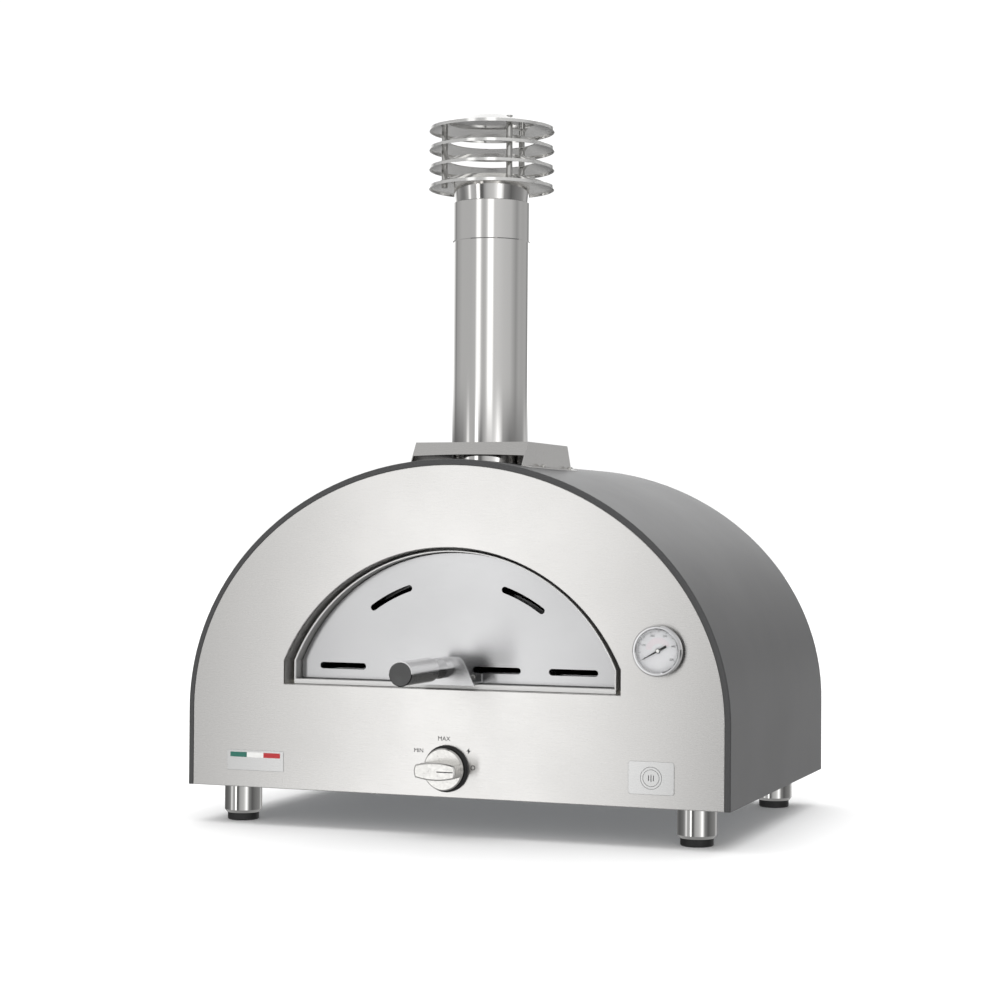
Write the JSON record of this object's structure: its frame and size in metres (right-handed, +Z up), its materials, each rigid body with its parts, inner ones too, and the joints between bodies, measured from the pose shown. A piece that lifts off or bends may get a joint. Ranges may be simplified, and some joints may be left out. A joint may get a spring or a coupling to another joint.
{
  "type": "countertop pizza oven",
  "caption": "Domed countertop gas pizza oven with an arched mouth and lift-off door, front knob, thermometer, short feet and a tall flue with a louvred cowl.",
  "frame": {"origin": "on the floor under the middle of the oven's whole box, handle and gas inlet included", "axes": "+Z up, +Y from the front panel to the rear, +X to the right seen from the front"},
  "size_m": [0.745, 0.714, 0.942],
  "materials": {
    "casing_paint": "anthracite satin powder coat",
    "satin_steel": "fine satin brushed stainless steel",
    "door_steel": "satin stainless steel",
    "grip_steel": "turned stainless steel, satin",
    "mouth_steel": "bright mill-finish stainless steel",
    "polished_steel": "mirror-polished stainless steel",
    "cowl_steel": "bright rolled stainless steel",
    "foot_steel": "turned and polished stainless steel",
    "galvanised": "galvanised sheet",
    "wool": "pressed ceramic fibre",
    "firebrick": "smooth refractory stone",
    "burner_steel": "plain drawn tube",
    "brass": "machined brass",
    "valve_alloy": "die-cast alloy",
    "black_plastic": "black moulded plastic",
    "probe_steel": "plain stainless",
    "electrode_ceramic": "white ceramic",
    "fastener_steel": "bright zinc-plated and stainless fasteners",
    "knob_metal": "satin silver die-cast metal",
    "bright_chrome": "bright chrome plate",
    "dial_white": "white enamelled dial with printed scale",
    "needle_black": "matt black",
    "dial_glass": "clear glass",
    "badge_steel": "satin stamped plate"
  },
  "bodies": {
    "oven": {"casing": "casing_paint", "rear_panel": "casing_paint", "front_panel": "satin_steel", "flue_cover": "satin_steel", "mouth_liner": "mouth_steel", "chamber_front_wall": "mouth_steel", "chamber_vault": "mouth_steel", "chamber_rear_wall": "mouth_steel", "flame_guard": "mouth_steel", "flue_collar": "mouth_steel", "flue_pipe": "polished_steel", "cowl_collar": "polished_steel", "cowl_rings": "cowl_steel", "cowl_cap": "cowl_steel", "cowl_rods": "cowl_steel", "foot_sleeves": "foot_steel", "floor_tray": "galvanised", "base_plate": "galvanised", "valve_bracket": "galvanised", "insulation_blanket": "wool", "front_insulation": "wool", "rear_insulation": "wool", "floor_insulation": "wool", "hearth_tiles": "firebrick", "burner_tube": "burner_steel", "mixing_tube": "burner_steel", "supply_pipe": "burner_steel", "feed_pipe": "burner_steel", "injector": "brass", "gas_inlet": "brass", "gas_valve": "valve_alloy", "spark_igniter": "black_plastic", "knob_bezel": "black_plastic", "thermometer_case": "black_plastic", "thermocouple": "probe_steel", "thermometer_probe": "probe_steel", "thermometer_nut": "probe_steel", "ignition_electrode": "electrode_ceramic", "panel_screws": "fastener_steel", "cover_screws": "fastener_steel", "foot_bolts": "fastener_steel", "thermometer_bezel": "bright_chrome", "thermometer_dial": "dial_white", "thermometer_lens": "dial_glass", "badge_right": "badge_steel", "badge_left": "badge_steel"},
    "door": {"door_panel": "door_steel", "door_inner_panel": "door_steel", "handle_bracket": "door_steel", "handle_rivets": "fastener_steel", "handle_grip": "grip_steel", "handle_bolt": "fastener_steel"},
    "push_rod": {"valve_push_rod": "valve_alloy"},
    "knob": {"knob": "knob_metal", "valve_spindle": "valve_alloy"},
    "needle": {"thermometer_needle": "needle_black"},
    "foot_front_left": {"foot_pad_1": "black_plastic"},
    "foot_front_right": {"foot_pad_2": "black_plastic"},
    "foot_rear_left": {"foot_pad_3": "black_plastic"},
    "foot_rear_right": {"foot_pad_4": "black_plastic"}
  },
  "joints": [
    {"name": "door_pull", "type": "slide", "parent": "oven", "child": "door", "axis": [0, -1, 0], "range_m": [0, 0.35]},
    {"name": "knob_push", "type": "slide", "parent": "oven", "child": "push_rod", "axis": [0, 1, 0], "range_m": [0, 0.003], "stiffness_N_per_m": 2000},
    {"name": "knob_turn", "type": "hinge", "parent": "push_rod", "child": "knob", "pos_m": [0, -0.223, 0.087], "axis": [0, -1, 0], "range_deg": [0, 151]},
    {"name": "needle_turn", "type": "hinge", "parent": "oven", "child": "needle", "pos_m": [0.2818, -0.21, 0.245], "axis": [0, 1, 0], "range_deg": [0, 240], "stiffness_Nm_per_rad": 0.002},
    {"name": "foot_front_left_screw", "type": "slide", "parent": "oven", "child": "foot_front_left", "axis": [0, 0, -1], "range_m": [0, 0.012]},
    {"name": "foot_front_right_screw", "type": "slide", "parent": "oven", "child": "foot_front_right", "axis": [0, 0, -1], "range_m": [0, 0.012]},
    {"name": "foot_rear_left_screw", "type": "slide", "parent": "oven", "child": "foot_rear_left", "axis": [0, 0, -1], "range_m": [0, 0.012]},
    {"name": "foot_rear_right_screw", "type": "slide", "parent": "oven", "child": "foot_rear_right", "axis": [0, 0, -1], "range_m": [0, 0.012]}
  ]
}
